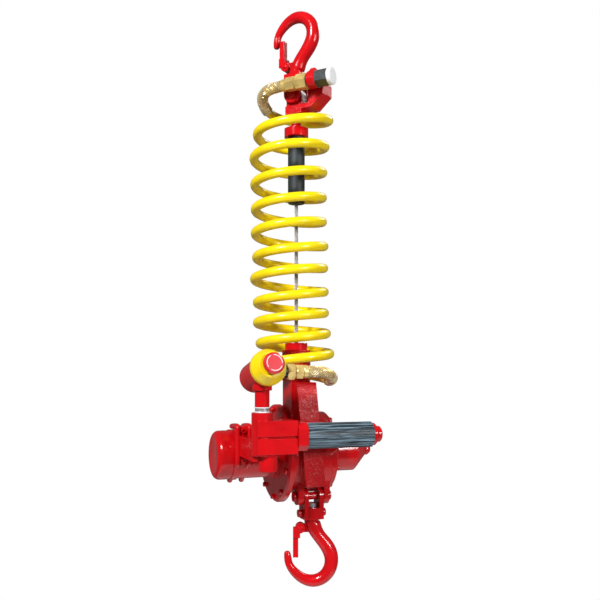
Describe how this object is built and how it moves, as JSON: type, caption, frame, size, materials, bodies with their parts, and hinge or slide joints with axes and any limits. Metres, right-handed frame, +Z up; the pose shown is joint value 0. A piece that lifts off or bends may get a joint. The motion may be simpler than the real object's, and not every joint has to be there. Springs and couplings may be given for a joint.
{
  "type": "air balancer",
  "caption": "Hanging air balancer: forged hooks, curly air hose, wire rope, drum housing with air motor, emergency stop and ribbed twist handle.",
  "frame": {"origin": "seat of the top hook, where it hangs from its support, on the rope's axis", "axes": "+Z up along the rope, +X along the drum from the air motor to the gear cover, -Y to the front"},
  "size_m": [0.226, 0.2186, 0.7799],
  "materials": {
    "red_paint": "glossy enamel over cast and forged metal",
    "black_paint": "satin black",
    "white_plastic": "smooth",
    "brass": "machined",
    "braid": "woven brass-coloured wire",
    "yellow_hose": "glossy polyurethane",
    "black_rubber": "matt",
    "steel": "bright zinc",
    "yellow_plastic": "glossy",
    "red_plastic": "glossy"
  },
  "bodies": {
    "top_hook": {"top_hook": "red_paint", "top_latch_pin": "steel"},
    "top_latch": {"top_latch": "red_paint"},
    "hanger": {"hanger_block": "red_paint", "hanger_pin": "steel", "inlet_adapter": "black_paint", "inlet_cap": "white_plastic", "upper_hose_nut": "brass", "upper_hose_ferrule": "brass", "upper_sleeve": "braid", "coil_hose": "yellow_hose", "rope_socket": "red_paint", "rope_stopper": "black_rubber", "wire_rope": "steel"},
    "hoist": {"frame_casting": "red_paint", "rope_guide": "red_paint", "side_plate": "red_paint", "gear_cover": "red_paint", "motor_case": "red_paint", "motor_cap": "red_paint", "valve_body": "red_paint", "valve_column": "red_paint", "column_ring": "steel", "stop_body": "red_paint", "stop_base": "yellow_plastic", "lower_hose_adapter": "steel", "lower_hose_nut": "brass", "lower_hose_ferrule": "brass", "lower_sleeve": "braid", "handle_flange": "red_paint", "handle_spindle": "steel", "clevis_pin": "red_paint", "drum_bearing_left": "steel", "drum_bearing_right": "steel"},
    "drum": {"rope_drum": "steel", "rope_wraps": "steel", "planet_carrier": "steel"},
    "rotor": {"motor_rotor": "steel"},
    "stop_button": {"stop_button": "red_plastic"},
    "grip": {"grip_rubber": "black_rubber", "grip_cap": "red_paint"},
    "load_yoke": {"load_yoke": "red_paint", "yoke_bolts": "red_paint"},
    "load_hook": {"load_hook": "red_paint", "hook_nut": "steel", "load_latch_pin": "steel"},
    "load_latch": {"load_latch": "red_paint"}
  },
  "joints": [
    {"name": "top_latch_open", "type": "hinge", "parent": "top_hook", "child": "top_latch", "pos_m": [-0.00964, 0.01149, -0.061], "axis": [0.766, 0.6428, 0], "range_deg": [0, 25], "stiffness_Nm_per_rad": 0.05},
    {"name": "hanger_swing", "type": "hinge", "parent": "top_hook", "child": "hanger", "pos_m": [0, 0, -0.104], "axis": [0.766, 0.6428, 0], "range_deg": [-12, 12]},
    {"name": "lift", "type": "slide", "parent": "hanger", "child": "hoist", "axis": [0, 0, 1], "range_m": [-0.4, 0.12], "deforming": ["coil_hose", "wire_rope"]},
    {"name": "drum_turn", "type": "hinge", "parent": "hoist", "child": "drum", "pos_m": [0, 0.02995, -0.591], "axis": [1, 0, 0], "range_deg": [-765.22, 229.57]},
    {"name": "rotor_turn", "type": "hinge", "parent": "hoist", "child": "rotor", "pos_m": [0, 0.02995, -0.591], "axis": [1, 0, 0], "range_deg": [-3826.1, 1147.83]},
    {"name": "button_press", "type": "slide", "parent": "hoist", "child": "stop_button", "axis": [0, 0.9744, -0.225], "range_m": [0, 0.004], "stiffness_N_per_m": 600},
    {"name": "grip_twist", "type": "hinge", "parent": "hoist", "child": "grip", "pos_m": [-0.07, -0.072, -0.5595], "axis": [0.9986, -0.0523, 0], "range_deg": [-25, 25], "stiffness_Nm_per_rad": 0.8},
    {"name": "yoke_swing", "type": "hinge", "parent": "hoist", "child": "load_yoke", "pos_m": [0.0215, 0, -0.646], "axis": [1, 0, 0], "range_deg": [-25, 25]},
    {"name": "load_hook_swivel", "type": "hinge", "parent": "load_yoke", "child": "load_hook", "pos_m": [0.0215, 0, -0.685], "axis": [0, 0, 1], "continuous": true},
    {"name": "load_latch_open", "type": "hinge", "parent": "load_hook", "child": "load_latch", "pos_m": [0.00741, 0.00513, -0.6875], "axis": [-0.342, -0.9397, 0], "range_deg": [0, 25], "stiffness_Nm_per_rad": 0.05}
  ],
  "couplings": [
    {"joint": "drum_turn", "follows": "lift", "rad_per_m": 33.389},
    {"joint": "rotor_turn", "follows": "lift", "rad_per_m": 166.94}
  ]
}
